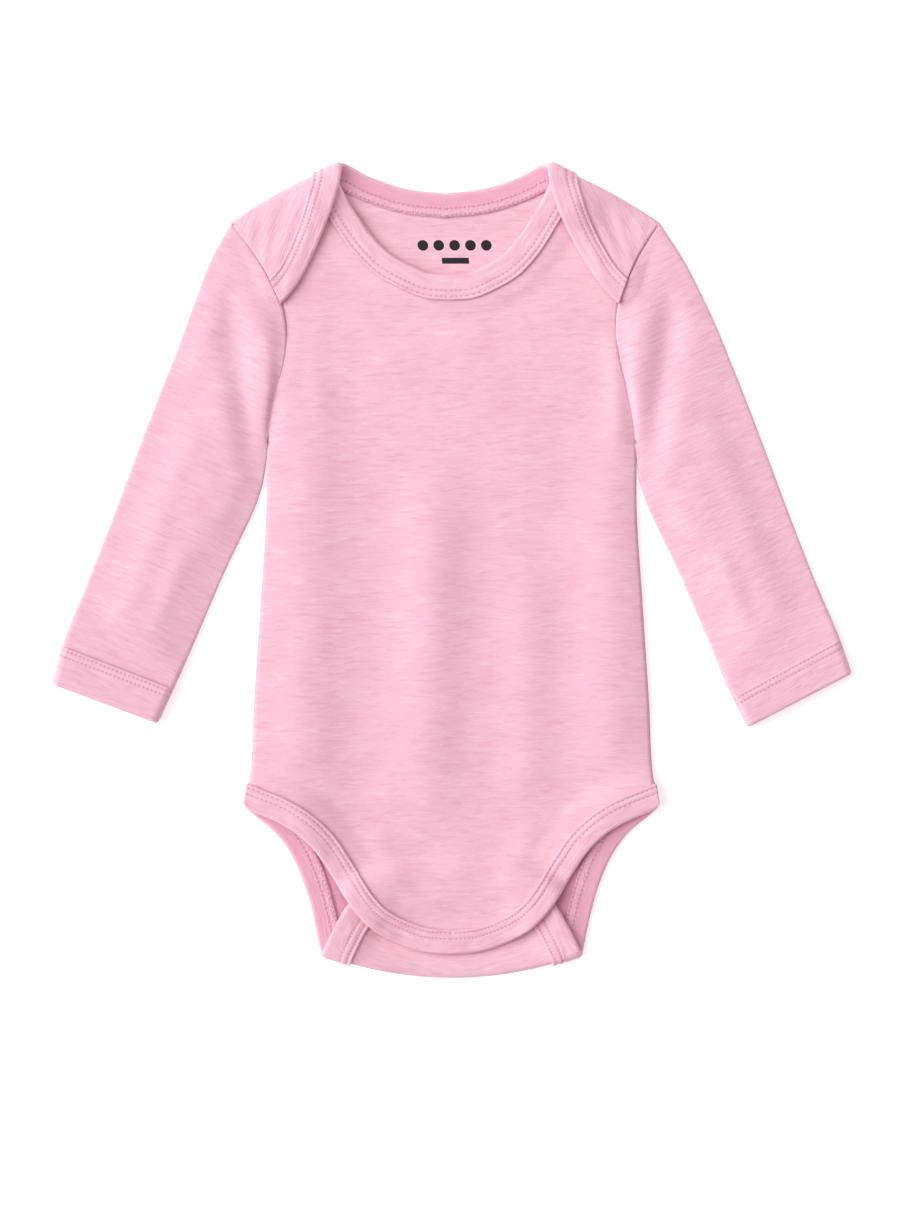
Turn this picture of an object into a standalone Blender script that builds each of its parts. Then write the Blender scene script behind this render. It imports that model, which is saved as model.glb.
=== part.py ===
"""Baby bodysuit with an envelope neck, laid flat on its back with the front up.

The back panel is cut in one piece: its shoulders fold over to the front as laps, and its lower end
passes under the crotch and comes up inside as a flap. The front panel lies between them. Sleeves are
flattened tubes, and every neck, leg and sleeve edge is bound by a strip folded over it.

The plan is worked out in millimetres, +Y towards the neck and +Z up from the table, on a symmetric
pattern. A small lean of the shoulders is added last. Points with a height are (x, y, z).
"""
import bmesh
import bpy
import numpy as np
from mathutils import Vector
from mathutils.geometry import delaunay_2d_cdt

MM = 0.001
WALL = 1.0              # thickness of the jersey
GAP = 0.3               # clearance between pieces at a seam or in a stack
BAND = 3 * WALL + 2 * GAP   # a bound edge: strip, panel, strip
NECK_BAND = 11.5        # width of the neck binding
LEG_BAND = 11.0         # width of the leg binding
RAW_EDGE = 1.3          # the panel's cut edge, in from the fold of its binding
ARM_SEAM = 0.5          # clearance between sleeve and panels along the armhole
STEP = 8.0              # spacing of sections along a binding
FILL = 13.0             # spacing of points inside a panel
CELL = 2.0              # grid of the stack's heights
REACH = 14.0            # how far the cloth bridges beside something thick
SETTLE = 14.0           # how soon a folded layer comes down beside its fold

LEAN = -3.2             # sideways lean of the neck
LEAN_FROM = 100.0       # where the lean starts, up the body
LEAN_OVER = 75.0        # length over which it grows

# Plan outlines of the right half, as laid: x from the centre line, y up the body.
BACK_NECK = ((0, 175.3), (19, 177.6), (34, 182.6), (47.9, 189.0))
LAP_EDGE = ((47.9, 189.0), (48.8, 181.2), (51.2, 172.5), (54.6, 163.5), (58.8, 154.3), (65.4, 141.6),
            (72.0, 131.4), (78.9, 124.1))
ARMHOLE = ((100.2, 161.9), (93.9, 153.6), (88.2, 144.8), (83.4, 135.5), (78.9, 124.1), (77.4, 109.0),
           (79.3, 95.0), (82.4, 84.0), (84.9, 72.0), (86.3, 60.0))
SIDE = ((86.3, 60.0), (86.2, 30.0), (88.9, -14.0), (92.0, -60.7), (94.3, -99.0), (96.3, -110.6))
FRONT_NECK = ((0, 137.3), (9, 138.1), (17, 141.4), (26, 146.6), (33.8, 154.6), (41, 165.0), (45.4, 172.0),
              (48.4, 178.0), (50.3, 181.5))
FRONT_TOP_END = (97.4, 157.9)       # where the front's hidden top edge meets the armhole
FRONT_LEG = ((96.3, -110.6), (90.5, -113.2), (83.9, -115.8), (72.7, -122.1), (64.5, -129.5), (56.9, -140.3),
             (50.2, -151.2), (43.6, -160.5), (36.1, -167.6), (25.6, -173.4), (14.1, -177.4), (0, -178.8))
BACK_LEG = ((96.3, -110.6), (92.0, -114.2), (82.8, -121.6), (76.1, -130.0), (70.6, -141.0), (66.3, -153.7),
            (63.2, -166.5), (60.7, -179.6))
FLAP = ((60.7, -179.6), (54.8, -167.3), (48.4, -156.4), (40.0, -147.6), (26.0, -142.8), (0, -141.6))

# Sleeve sections, right side: outer fold x, y; inner fold x, y; how much of the armhole's curve is left;
# radius of the outer and inner fold; height of the lower layer's middle.
SLEEVE = ((100.2, 161.9, 86.5, 58.6, 1.00, 1.5, 1.0, 0.5),
          (110.5, 144.5, 87.3, 49.0, 0.70, 1.2, 1.0, 0.5),
          (119.5, 124.2, 88.6, 39.5, 0.40, 1.0, 1.0, 0.5),
          (128.5, 101.5, 92.3, 28.0, 0.15, 1.0, 1.0, 0.5),
          (137.3, 79.4, 98.0, 15.5, 0.00, 1.0, 1.0, 0.5),
          (146.6, 55.0, 104.5, 2.0, 0.00, 1.0, 1.0, 0.5),
          (157.5, 26.0, 111.5, -14.0, 0.00, 1.0, 1.0, 0.5),
          (169.5, -4.7, 119.5, -33.0, 0.00, 1.1, 1.1, 0.6))
# Cuff corners on each side: seam outer x, y; seam inner x, y; free edge outer x, y; inner x, y.
CUFF = {"left": (181.6, -35.4, 129.4, -55.6, 186.4, -52.8, 136.7, -71.3),
        "right": (181.0, -32.0, 130.6, -59.4, 186.6, -47.8, 137.7, -73.2)}
CUFF_FOLD = 2.15        # radius of the folds at the sides of a cuff
RING_SIDE = 12          # points along each layer of a sleeve section

# Folds of the back panel: chord ends, bulge of the fold line, and radius by place along the chord.
SHOULDER_FOLD = dict(start=(47.9, 189.0), end=(100.2, 161.9), bulge=2.0,
                     radius=((0, 4.1), (22, 4.1), (48, 1.6), (60, 1.5)))
CROTCH_FOLD = dict(start=(60.7, -179.2), end=(-60.7, -179.2), bulge=11.0,
                   radius=((0, 2.3), (26, 2.3), (46, 1.5), (75.4, 1.5), (95.4, 2.3), (121.4, 2.3)))
FOLD_ROWS = (0.0, 0.25, 0.5, 0.75, 1.0)     # rows of points round a fold, as shares of its half turn

PINK = (0.82, 0.47, 0.57, 1.0)
DEEP_PINK = (0.80, 0.42, 0.53, 1.0)


def spline(points, spacing=None):
    """A smooth line through the points, with tangents from each point's neighbours, resampled evenly."""
    points = np.array(points, float)
    chord = np.concatenate(([0], np.cumsum(np.linalg.norm(np.diff(points, axis=0), axis=1))))
    slope = np.gradient(points, chord, axis=0)
    place = np.linspace(0, chord[-1], 40 * len(points))
    span = np.clip(np.searchsorted(chord, place, side="right") - 1, 0, len(points) - 2)
    width = (chord[span + 1] - chord[span])[:, None]
    t = (place - chord[span])[:, None] / width
    line = ((2 * t ** 3 - 3 * t ** 2 + 1) * points[span] + (t ** 3 - 2 * t ** 2 + t) * width * slope[span]
            + (3 * t ** 2 - 2 * t ** 3) * points[span + 1] + (t ** 3 - t ** 2) * width * slope[span + 1])
    return line if spacing is None else resample(line, spacing)


def lengths(line):
    """Distance along a line to each of its points."""
    return np.concatenate(([0], np.cumsum(np.linalg.norm(np.diff(line, axis=0), axis=1))))


def at(line, place, values=None):
    """Points, or other values of a line's points, at the given distances along it."""
    run = lengths(line)
    values = line if values is None else values
    return np.stack([np.interp(place, run, values[:, axis]) for axis in range(values.shape[1])], axis=-1)


def resample(line, spacing):
    """The same line with evenly spaced points."""
    total = lengths(line)[-1]
    return at(line, np.linspace(0, total, max(2, int(round(total / spacing)) + 1)))


def unit(vector):
    """The vector, or each row of an array, at length 1."""
    return vector / np.linalg.norm(vector, axis=-1, keepdims=True)


def right_normal(line):
    """Unit normals to the right of a line's direction of travel."""
    tangent = unit(np.gradient(line, axis=0))
    return np.stack([tangent[:, 1], -tangent[:, 0]], axis=1)


def mirrored(line):
    """The other half of a symmetric line, in reverse order."""
    return (line * (-1, 1))[::-1]


def strip(line, width, side=1):
    """Outline of a band beside a line, to its right for side 1 and to its left for side -1."""
    return np.concatenate([line, (line + side * width * right_normal(line))[::-1]])


def within(outline, x, y):
    """Even-odd test of points against a closed outline."""
    inside = np.zeros(x.shape, bool)
    for (x0, y0), (x1, y1) in zip(outline, np.roll(outline, -1, axis=0)):
        if y0 != y1:
            inside ^= ((y0 > y) != (y1 > y)) & (x < (x1 - x0) * (y - y0) / (y1 - y0) + x0)
    return inside


def spread(field, reach):
    """The highest value within reach of each cell, in a square, then a short average."""
    for axis in (0, 1):
        cells = int(round(reach / CELL))
        field = np.max([np.roll(field, shift, axis) for shift in range(-cells, cells + 1)], axis=0)
    for axis in (0, 1):
        field = np.mean([np.roll(field, shift, axis) for shift in (-2, -1, 0, 1, 2)], axis=0)
    return field


class Stack:
    """Height of the pieces laid so far, on a grid over the table."""

    def __init__(self):
        self.x = np.arange(-140, 141, CELL)
        self.y = np.arange(-220, 221, CELL)
        self.top = np.zeros((len(self.y), len(self.x)))

    def lay(self, plans, bands):
        """Lay a piece with bound edges on the stack and return its middle height at any place."""
        x, y = np.meshgrid(self.x, self.y)
        bound = np.any([within(band, x, y) for band in bands], axis=0)
        covered = bound | np.any([within(plan, x, y) for plan in plans], axis=0)
        half = np.where(bound, BAND / 2, WALL / 2)
        need = np.where(covered, self.top + np.where(self.top > 0, GAP, 0) + half, 0)
        middle = spread(need, REACH)
        self.top = np.where(covered, middle + half, self.top)
        return lambda place: self.read(middle, place)

    def read(self, field, place):
        """Bilinear value of a field at plan points."""
        column = np.clip((place[:, 0] - self.x[0]) / CELL, 0, len(self.x) - 1.001)
        row = np.clip((place[:, 1] - self.y[0]) / CELL, 0, len(self.y) - 1.001)
        i, j = row.astype(int), column.astype(int)
        u, v = row - i, column - j
        return ((1 - u) * (1 - v) * field[i, j] + u * (1 - v) * field[i + 1, j]
                + (1 - u) * v * field[i, j + 1] + u * v * field[i + 1, j + 1])


class Fold:
    """A soft fold of the back panel: flat before the fold line, round an arc, then back on top."""

    def __init__(self, start, end, bulge, radius, side=1):
        self.start = np.array(start, float)
        self.length = np.linalg.norm(np.array(end, float) - self.start)
        self.along = (np.array(end, float) - self.start) / self.length
        self.out = side * np.array((-self.along[1], self.along[0]))
        self.bulge = bulge
        self.radii = np.array(radius, float)

    def radius(self, t):
        return np.interp(t, self.radii[:, 0], self.radii[:, 1])

    def line(self, t):
        """How far out the arc starts, so that the fold's outer face reaches the fold line."""
        share = np.clip(t / self.length, 0, 1)
        return self.bulge * 4 * share * (1 - share) - self.radius(t) - WALL / 2

    def split(self, points):
        """Place along the fold and distance past the start of the arc."""
        t = (points - self.start) @ self.along
        return t, (points - self.start) @ self.out - self.line(t)

    def point(self, t, past):
        """Pattern point at a place along the fold and a distance past the start of the arc."""
        t = np.atleast_1d(t)
        return self.start + t[:, None] * self.along + (self.line(t) + past)[:, None] * self.out

    def row(self, t, share):
        """Pattern points on one of the rows round the fold."""
        return self.point(t, share * np.pi * self.radius(t))

    def unfold(self, points):
        """Pattern points of a line that lies on top after folding."""
        points = np.array(points, float)
        t = (points - self.start) @ self.along
        d = (points - self.start) @ self.out
        return self.point(t, np.pi * self.radius(t) + self.line(t) - d)

    def lay(self, points, low, high):
        """Middle of the folded cloth, and its outward direction, at pattern points past the fold line."""
        t, past = self.split(points)
        r = self.radius(t)
        turn = np.clip(past / r, 0, np.pi)
        beyond = np.maximum(past - np.pi * r, 0)
        out = self.line(t) + r * np.sin(turn) - beyond
        plan = self.start + t[:, None] * self.along + out[:, None] * self.out
        start = self.start + t[:, None] * self.along + self.line(t)[:, None] * self.out
        base = low(start)
        ease = np.clip(1 - beyond / SETTLE, 0, 1)
        ease = ease * ease * (3 - 2 * ease)
        top = high(plan) + (base + 2 * r - high(start)) * ease
        z = np.where(beyond > 0, top, base + r * (1 - np.cos(turn)))
        outward = np.concatenate([np.sin(turn)[:, None] * self.out, -np.cos(turn)[:, None]], axis=1)
        return np.column_stack([plan, z]), outward


class Edge:
    """A bound edge of a panel in the pattern, travelled with the panel on its right.

    Its sections run square to the edge, except at its ends and where it passes round a fold, where
    they turn to run along the panel's end or along the fold's rows.
    """

    def __init__(self, line, width, folds=(), ends=(None, None)):
        run = lengths(line)
        normal = right_normal(line)
        guides = []
        for fold in folds:
            t, past = fold.split(line)
            for share in FOLD_ROWS:
                over = past - share * np.pi * fold.radius(t)
                for i in np.nonzero(np.diff(np.sign(over)))[0]:
                    place = run[i] + (run[i + 1] - run[i]) * over[i] / (over[i] - over[i + 1])
                    here = np.interp(place, run, t)
                    both = fold.row(here + np.array((-width, width)), share)
                    aim = unit(both - at(line, place))
                    inward = aim @ normal[i]
                    guides.append((place, aim[int(inward[1] > inward[0])]))
        for place, aim in zip((0, run[-1]), ends):
            if aim is not None:
                guides.append((place, unit(np.array(aim, float))))
        places = [0, run[-1]] + [place for place, _ in guides]
        places = np.unique(np.round(places, 6))
        stations = [places[0]]
        for before, after in zip(places[:-1], places[1:]):
            count = max(1, int(round((after - before) / STEP)))
            stations += list(np.linspace(before, after, count + 1)[1:])
        self.places = np.array(stations)
        self.free = at(line, self.places)
        square = unit(at(line, self.places, normal))
        weight = np.zeros(len(self.places))
        lean = np.zeros_like(square)
        for place, aim in guides:
            pull = np.clip(1 - np.abs(self.places - place) / (2 * width), 0, 1) ** 2 + 1e-12
            pull = np.where(np.abs(self.places - place) < 1e-3, 1e6, pull)
            lean += pull[:, None] * aim
            weight += pull
        total = np.maximum(weight, 1)
        blend = lean / total[:, None] + square * (1 - np.minimum(weight, 1))[:, None]
        self.aim = unit(blend)
        self.stretch = 1 / np.clip(np.sum(self.aim * square, axis=1), 0.45, None)
        self.width = width

    def points(self, depth):
        """Pattern points at a depth in from the free edge, one for each section."""
        return self.free + self.aim * (depth * self.stretch)[:, None]


    def ties(self):
        """Links across the band that cut its stretch of the panel into the strip's own triangles."""
        raw, seam = self.points(RAW_EDGE), self.points(self.width)
        return ([np.array(pair) for pair in zip(raw, seam)]
                + [np.array(pair) for pair in zip(raw[:-1], seam[1:])])


def band_profile(width):
    """A strip folded over an edge, as (depth, offset) pairs round its outer and its inner face."""
    half = BAND / 2
    outer = ((width, half), (1.3, half), (0, 0.7), (0, -0.7), (1.3, -half), (width, -half))
    half -= WALL
    inner = ((width, half), (1.5, half), (1.0, 0.3), (1.0, -0.3), (1.5, -half), (width, -half))
    return outer, inner


def lean(points):
    """Add the sideways lean of the shoulders and neck."""
    share = np.clip((points[:, 1] - LEAN_FROM) / LEAN_OVER, 0, 1)
    moved = np.array(points, float)
    moved[:, 0] += LEAN * share * share * (3 - 2 * share)
    return moved


def cloth(name, colour):
    """Material of one piece of jersey."""
    material = bpy.data.materials.new(name)
    material.use_nodes = True
    shader = material.node_tree.nodes["Principled BSDF"]
    shader.inputs["Base Color"].default_value = colour
    shader.inputs["Roughness"].default_value = 0.9
    shader.inputs["Metallic"].default_value = 0.0
    return material


def add_piece(name, points, faces, colour=PINK):
    """Make one closed piece from points in millimetres."""
    mesh = bpy.data.meshes.new(name)
    mesh.from_pydata((lean(points) * MM).tolist(), [], [tuple(int(i) for i in face) for face in faces])
    shape = bmesh.new()
    shape.from_mesh(mesh)
    bmesh.ops.recalc_face_normals(shape, faces=shape.faces)
    shape.to_mesh(mesh)
    shape.free()
    mesh.shade_smooth()
    mesh.set_sharp_from_angle(angle=0.8)
    mesh.materials.append(cloth(name, colour))
    piece = bpy.data.objects.new(name, mesh)
    bpy.context.scene.collection.objects.link(piece)
    return piece


def hex_fill(outline, taken):
    """Evenly staggered points inside an outline, clear of the points that are already there."""
    low, high = outline.min(axis=0), outline.max(axis=0)
    rows = np.arange(low[1], high[1], FILL * 0.866)
    points = [(x + FILL / 2 * (i % 2), y) for i, y in enumerate(rows) for x in np.arange(low[0], high[0], FILL)]
    points = np.array(points)
    points = points[within(outline, points[:, 0], points[:, 1])]
    gap = np.min(np.linalg.norm(points[:, None] - taken[None], axis=2), axis=1)
    return points[gap > FILL * 0.55]


def add_panel(name, outline, rows, keep_clear, place):
    """Fill an outline with triangles, lay it with place(points) and give it the wall's thickness."""
    points = list(outline)
    links = []
    for row in rows:
        numbers = []
        for point in row:
            near = np.linalg.norm(np.array(points) - point, axis=1)
            if near.min() < 0.05:
                numbers.append(int(near.argmin()))
            else:
                numbers.append(len(points))
                points.append(point)
        links += list(zip(numbers[:-1], numbers[1:]))
    fill = hex_fill(outline, np.array(points))
    fill = fill[~keep_clear(fill)]
    points = np.concatenate([np.array(points), fill])
    edge = list(range(len(outline)))
    flat, _, faces, _, _, _ = delaunay_2d_cdt([Vector(p) for p in points], links, [edge], 1, 1e-3)
    flat = np.array([tuple(p) for p in flat])
    middle, outward = place(flat)
    count = len(flat)
    body = np.concatenate([middle + outward * WALL / 2, middle - outward * WALL / 2])
    sides = {}
    for face in faces:
        for a, b in zip(face, face[1:] + face[:1]):
            sides[(a, b)] = sides.get((b, a)) is None
            if not sides[(a, b)]:
                sides[(b, a)] = False
    shell = [tuple(face) for face in faces] + [tuple(i + count for i in reversed(face)) for face in faces]
    shell += [(b, a, a + count, b + count) for (a, b), free in sides.items() if free]
    return add_piece(name, body, shell)


def add_binding(name, edge, place):
    """Carry the folded strip's profile along an edge."""
    outer, inner = band_profile(edge.width)
    profile = list(outer) + list(inner)
    columns = []
    for depth, offset in profile:
        middle, outward = place(edge.points(depth))
        columns.append(middle + outward * offset)
    grid = np.stack(columns, axis=1)
    rows, size, half = grid.shape[0], len(profile), len(outer)
    ring = list(range(half)) + list(range(size - 1, half - 1, -1))
    faces = []
    for i in range(rows - 1):
        for a, b in zip(ring, ring[1:] + ring[:1]):
            near, far = (a, b) if profile[a][0] < profile[b][0] else (b, a)
            faces.append((i * size + near, i * size + far, (i + 1) * size + far))
            faces.append((i * size + near, (i + 1) * size + far, (i + 1) * size + near))
    for first in (0, (rows - 1) * size):
        for k in range(half - 1):
            faces.append((first + k, first + k + 1, first + half + k + 1, first + half + k))
    return add_piece(name, grid.reshape(-1, 3), faces, DEEP_PINK)


def tube_ring(section, bow, heights, offset, reach):
    """A flattened ring: lower layer, inner fold, upper layer, outer fold."""
    outer, inner = np.array(section[0:2]), np.array(section[2:4])
    curve_left, r_out, r_in, low = section[4:8]
    share = np.linspace(0, 1, 200)
    plan = outer + (inner - outer) * share[:, None] + curve_left * bow(share)
    run = lengths(plan)
    use = np.linspace(r_out + reach, run[-1] - r_in - reach, RING_SIDE)
    line = at(plan, use)
    part = (use - use[0]) / (use[-1] - use[0])
    lift = 2 * (r_out + (r_in - r_out) * part) + curve_left * heights(line) * np.sin(np.pi * part) ** 0.5
    lower = np.column_stack([line, np.full(RING_SIDE, low - offset)])
    upper = np.column_stack([line, low + lift + offset])
    ends = []
    for tip, away, r in ((line[-1], unit(line[-1] - line[-2]), r_in), (line[0], unit(line[0] - line[1]), r_out)):
        turn = np.radians((45, 90, 135))[:, None]
        ends.append(np.column_stack([tip + away * (r + offset) * np.sin(turn), low + r - (r + offset) * np.cos(turn)]))
    return np.concatenate([lower, ends[0], upper[::-1], ends[1][::-1]])


def loft(rings, closed=False):
    """Quads between successive rings, and back to the first if closed."""
    size = len(rings[0])
    pairs = list(zip(range(len(rings) - 1), range(1, len(rings))))
    if closed:
        pairs.append((len(rings) - 1, 0))
    return [(a * size + i, a * size + (i + 1) % size, b * size + (i + 1) % size, b * size + i)
            for a, b in pairs for i in range(size)]


def flip(points, side):
    """A right-hand shape, or its mirror image for the left."""
    return points * (1 if side == "right" else -1, 1, 1)


for old in list(bpy.data.objects):
    bpy.data.objects.remove(old)

# The folds and the bound edges, laid out in the pattern.
shoulder = {"right": Fold(**SHOULDER_FOLD),
            "left": Fold(start=(-47.9, 189.0), end=(-100.2, 161.9), bulge=SHOULDER_FOLD["bulge"],
                         radius=SHOULDER_FOLD["radius"], side=-1)}
crotch = Fold(**CROTCH_FOLD)
armhole = spline(ARMHOLE)
lap_free = spline(LAP_EDGE)
neck_half = np.concatenate([spline(BACK_NECK), shoulder["right"].unfold(lap_free)[1:]])
leg_half = np.concatenate([spline(BACK_LEG), crotch.unfold(spline(FLAP))[1:]])


def smooth_join(line, spacing=2.0):
    """Even out a line made of two runs."""
    line = resample(line, spacing)
    for _ in range(3):
        line[1:-1] = (line[:-2] + 2 * line[1:-1] + line[2:]) / 4
    return line


neck_half = smooth_join(neck_half)
leg_half = smooth_join(leg_half)
neck_line = np.concatenate([mirrored(neck_half), neck_half[1:]])
leg_line = np.concatenate([leg_half, mirrored(leg_half)[1:]])
lap_end = shoulder["right"].unfold(np.array((ARMHOLE[4], ARMHOLE[3])))
lap_aim = lap_end[1] - lap_end[0]
side_aim = np.array(SIDE[4]) - np.array(SIDE[5])
back_neck = Edge(neck_line, NECK_BAND, shoulder.values(), (lap_aim * (-1, 1), lap_aim))
back_leg = Edge(leg_line, LEG_BAND, (crotch,), (side_aim, side_aim * (-1, 1)))
front_neck_half = spline(FRONT_NECK, 2.0)
front_leg_half = spline(FRONT_LEG, 2.0)
front_neck = Edge(np.concatenate([mirrored(front_neck_half), front_neck_half[1:]]), NECK_BAND)
front_leg = Edge(np.concatenate([front_leg_half, mirrored(front_leg_half)[1:]]), LEG_BAND, (),
                 (side_aim, side_aim * (-1, 1)))

# The stack from the table up: the back, the flap on it, the front over both, and the laps on top.
stack = Stack()
side_line = spline(SIDE)
back_leg_line = spline(BACK_LEG)
flap_line = spline(FLAP)
half_back = np.concatenate([spline(BACK_NECK), armhole, side_line, back_leg_line, ((0, -190.0),)])
back_bands = [strip(spline(BACK_NECK), NECK_BAND), strip(back_leg_line, LEG_BAND)]
lap_plan = np.concatenate([lap_free, armhole[::-1]])
half_front = np.concatenate([front_neck_half, (FRONT_TOP_END,), armhole[armhole[:, 1] < FRONT_TOP_END[1]],
                             side_line, front_leg_half])
half_flap = np.concatenate([((0, -190.0),), flap_line])


def both(outlines):
    """The outlines and their mirror images."""
    return list(outlines) + [outline * (-1, 1) for outline in outlines]


back_middle = stack.lay(both([half_back]), both(back_bands))
flap_middle = stack.lay(both([half_flap]), both([strip(flap_line, LEG_BAND, -1)]))
front_middle = stack.lay(both([half_front]),
                         both([strip(front_neck_half, NECK_BAND), strip(front_leg_half, LEG_BAND)]))
lap_middle = stack.lay(both([lap_plan]), both([strip(lap_free, NECK_BAND, -1)]))


def lay_back(points):
    """Fold the back's pattern: middle of the cloth and its right side's direction."""
    middle = np.column_stack([points, back_middle(points)])
    outward = np.tile((0.0, 0.0, -1.0), (len(points), 1))
    for fold, high in ((shoulder["left"], lap_middle), (shoulder["right"], lap_middle), (crotch, flap_middle)):
        past = fold.split(points)[1] > 0
        if past.any():
            middle[past], outward[past] = fold.lay(points[past], back_middle, high)
    return middle, outward


def lay_front(points):
    """Lay the front flat on what is under it."""
    return np.column_stack([points, front_middle(points)]), np.tile((0.0, 0.0, 1.0), (len(points), 1))


def fold_rows(fold, edge, far):
    """Rows of pattern points round a fold, from a bound edge to the far end of the fold."""
    rows = []
    for share in FOLD_ROWS:
        t, past = fold.split(edge.free)
        on = np.nonzero(np.abs(past - share * np.pi * fold.radius(t)) < 0.02)[0]
        on = on[0] if fold is not shoulder["left"] else on[-1]
        starts = [edge.points(depth)[on] for depth in (RAW_EDGE, edge.width)]
        begin = fold.split(starts[1][None])[0][0]
        if far is None:
            other = np.nonzero(np.abs(past - share * np.pi * fold.radius(t)) < 0.02)[0][-1]
            finish = [edge.points(depth)[other] for depth in (edge.width, RAW_EDGE)]
            end = fold.split(finish[0][None])[0][0]
        else:
            end = far
            finish = [fold.row(far, share)[0]]
        count = int(round(abs(end - begin) / 9.0))
        between = fold.row(np.linspace(begin, end, count + 1)[1:-1], share)
        rows.append(np.array(starts + list(between) + finish))
    return rows


# The back panel's outline: neck edge, lap's armhole edge, armhole, side, then the leg edge.
tip = shoulder["right"].split(armhole)
tip_place = tip[0][np.argmax(tip[1] < 0)]
arm_points = at(armhole, np.linspace(3.0, lengths(armhole)[-1], RING_SIDE))
arm_points = arm_points[shoulder["right"].split(arm_points)[1] < -1.5]
side_points = resample(side_line, FILL)[1:-1]
lap_arm = resample(armhole[(armhole[:, 1] > ARMHOLE[4][1] + 3)], STEP)
lap_arm = lap_arm[shoulder["right"].split(lap_arm)[1] < -1.5][::-1]
lap_arm = shoulder["right"].unfold(lap_arm)
round_tip = np.concatenate([shoulder["right"].row(tip_place, share) for share in FOLD_ROWS[::-1]])
right_arm = np.concatenate([lap_arm[1:], round_tip, arm_points])
outline = np.concatenate([back_neck.points(RAW_EDGE), right_arm, side_points, back_leg.points(RAW_EDGE),
                          mirrored(side_points), mirrored(right_arm)])
rows = [back_neck.points(NECK_BAND), back_leg.points(LEG_BAND)] + back_neck.ties() + back_leg.ties()
rows += fold_rows(shoulder["right"], back_neck, tip_place)
rows += fold_rows(shoulder["left"], back_neck, tip_place)
rows += fold_rows(crotch, back_leg, None)


def near_fold(points):
    """Points in or just beside the folds, which have rows of their own."""
    near = np.zeros(len(points), bool)
    for fold in (*shoulder.values(), crotch):
        t, past = fold.split(points)
        near |= (past > -6) & (past < np.pi * fold.radius(t) + 6)
    return near


add_panel("back_panel", outline, rows, near_fold, lay_back)
add_binding("neck_binding_back", back_neck, lay_back)
add_binding("leg_binding_back", back_leg, lay_back)

# The front panel: neck edge, hidden top edge, armhole, side, then the leg edge.
top_edge = resample(np.array((front_neck_half[-1], FRONT_TOP_END)), FILL)[2:]
front_arm = arm_points[arm_points[:, 1] < FRONT_TOP_END[1] - 4]
front_right = np.concatenate([top_edge, front_arm, side_points])
front_outline = np.concatenate([front_neck.points(RAW_EDGE), front_right, front_leg.points(RAW_EDGE),
                                mirrored(front_right)])
front_rows = [front_neck.points(NECK_BAND), front_leg.points(LEG_BAND)] + front_neck.ties() + front_leg.ties()
add_panel("front_panel", front_outline, front_rows, lambda points: np.zeros(len(points), bool), lay_front)
add_binding("neck_binding_front", front_neck, lay_front)
add_binding("leg_binding_front", front_leg, lay_front)


def arm_bow(share):
    """How far the armhole curves away from its chord, pushed clear of the panels' edges."""
    line = at(armhole, share * lengths(armhole)[-1])
    chord = line[0] + (line[-1] - line[0]) * share[:, None]
    return line - chord - ARM_SEAM * right_normal(line)


def arm_lift(line):
    """Height of the sleeve's upper layer over its plain height, to meet the front and the laps."""
    on_lap = line[:, 1] > ARMHOLE[4][1]
    top = np.where(on_lap, lap_middle(line), front_middle(line))
    return np.maximum(top - SLEEVE[0][7] - 2 * SLEEVE[0][5], 0)


def cuff_ring(side, share, offset):
    """Ring of the cuff at a share of the way from its free edge to its seam."""
    corner = np.array(CUFF[side], float)
    section = list(corner[4:8] + (corner[0:4] - corner[4:8]) * share)
    return tube_ring(section + [0.0, CUFF_FOLD, CUFF_FOLD, BAND / 2], lambda s: np.zeros((len(s), 2)),
                     lambda line: np.zeros(len(line)), offset, BAND / 2)


for side in ("left", "right"):
    seam = np.array(CUFF[side], float)
    depth = np.linalg.norm(seam[0:2] - seam[4:6])
    shell = []
    for offset in (WALL / 2, -WALL / 2):
        rings = [tube_ring(section, arm_bow, arm_lift, offset, WALL / 2) for section in SLEEVE]
        rings += [cuff_ring(side, share, offset) for share in (1.0, 2 * RAW_EDGE / depth)]
        shell.append(rings)
    rings = shell[0] + shell[1][::-1]
    add_piece("sleeve_" + side, flip(np.concatenate(rings), side), loft(rings, closed=True))
    outer, inner = band_profile(depth)
    rings = [cuff_ring(side, d / depth, offset) for d, offset in outer + inner[::-1]]
    add_piece("cuff_" + side, flip(np.concatenate(rings), side), loft(rings, closed=True), DEEP_PINK)
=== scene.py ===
import bmesh
import bpy
import numpy as np
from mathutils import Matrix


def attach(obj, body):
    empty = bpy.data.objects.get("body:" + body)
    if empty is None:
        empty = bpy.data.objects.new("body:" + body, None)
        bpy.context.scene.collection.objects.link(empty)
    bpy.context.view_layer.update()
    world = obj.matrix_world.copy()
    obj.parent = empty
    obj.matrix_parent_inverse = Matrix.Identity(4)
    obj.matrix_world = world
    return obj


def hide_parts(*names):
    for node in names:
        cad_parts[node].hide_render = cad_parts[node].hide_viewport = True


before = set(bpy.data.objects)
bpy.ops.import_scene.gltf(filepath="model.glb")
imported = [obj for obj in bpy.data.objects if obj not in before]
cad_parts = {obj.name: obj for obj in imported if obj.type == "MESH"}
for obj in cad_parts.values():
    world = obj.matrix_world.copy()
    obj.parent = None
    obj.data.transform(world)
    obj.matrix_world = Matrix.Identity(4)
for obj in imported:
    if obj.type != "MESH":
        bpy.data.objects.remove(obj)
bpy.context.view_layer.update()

MM = 0.001


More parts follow.
